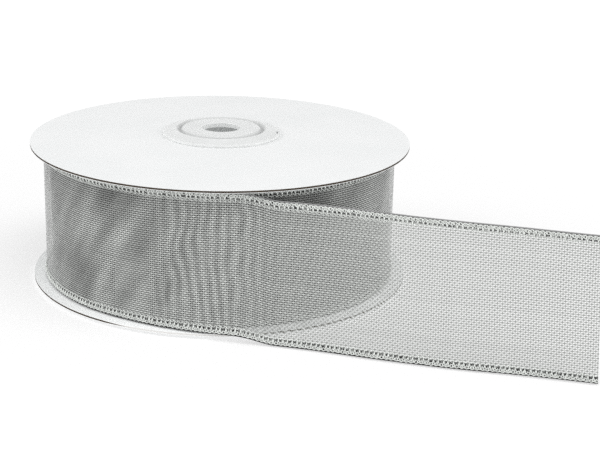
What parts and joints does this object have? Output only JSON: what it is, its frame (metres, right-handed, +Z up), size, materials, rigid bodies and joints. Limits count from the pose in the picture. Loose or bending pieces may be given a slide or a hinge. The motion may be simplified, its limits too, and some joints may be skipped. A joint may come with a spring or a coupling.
{
  "type": "ribbon spool",
  "caption": "Flanged paperboard spool lying flat, wound with silver-grey sheer wire-edged ribbon whose free tail leads off the roll.",
  "frame": {"origin": "on the spindle axis, in the plane that the lower hub rim stands on", "axes": "+Z up along the spindle axis, lower flange to upper flange; +X towards the free tail; -Y is the side the tail leaves from"},
  "size_m": [0.1489, 0.139, 0.0441],
  "materials": {
    "kraft_board": "raw cut kraft board",
    "face_paper": "matt white coated paper",
    "hub_plastic": "moulded off-white polyethylene",
    "core_board": "spiral-wound paperboard",
    "clear_tape": "clear adhesive tape",
    "wound_cloth": "stacked sheer weave",
    "wound_edges": "stacked overlocked edges",
    "sheer_cloth": "open plain weave, silver sheen",
    "edge_thread": "silver overlock thread",
    "edge_wire": "dark thread-covered wire"
  },
  "bodies": {
    "spool": {"lower_flange_board": "kraft_board", "upper_flange_board": "kraft_board", "lower_flange_outer_paper": "face_paper", "lower_flange_inner_paper": "face_paper", "upper_flange_inner_paper": "face_paper", "upper_flange_outer_paper": "face_paper", "lower_hub_half": "hub_plastic", "upper_hub_half": "hub_plastic", "core_sleeve": "core_board", "start_tape": "clear_tape", "wound_sheer": "wound_cloth", "wound_lower_edge": "wound_edges", "wound_upper_edge": "wound_edges"},
    "outer_turn": {"turn_sheer": "sheer_cloth", "turn_lower_thread": "edge_thread", "turn_upper_thread": "edge_thread", "turn_lower_wire": "edge_wire", "turn_upper_wire": "edge_wire"},
    "tail": {"tail_sheer": "sheer_cloth", "tail_lower_thread": "edge_thread", "tail_upper_thread": "edge_thread", "tail_lower_wire": "edge_wire", "tail_upper_wire": "edge_wire"}
  },
  "joints": [
    {"name": "ribbon_payout", "type": "hinge", "parent": "spool", "child": "outer_turn", "pos_m": [0, 0, 0.021], "axis": [0, 0, 1], "continuous": true},
    {"name": "tail_swing", "type": "hinge", "parent": "outer_turn", "child": "tail", "pos_m": [-0.02948, -0.0421, 0.021], "axis": [0, 0, -1], "range_deg": [0, 55]}
  ]
}
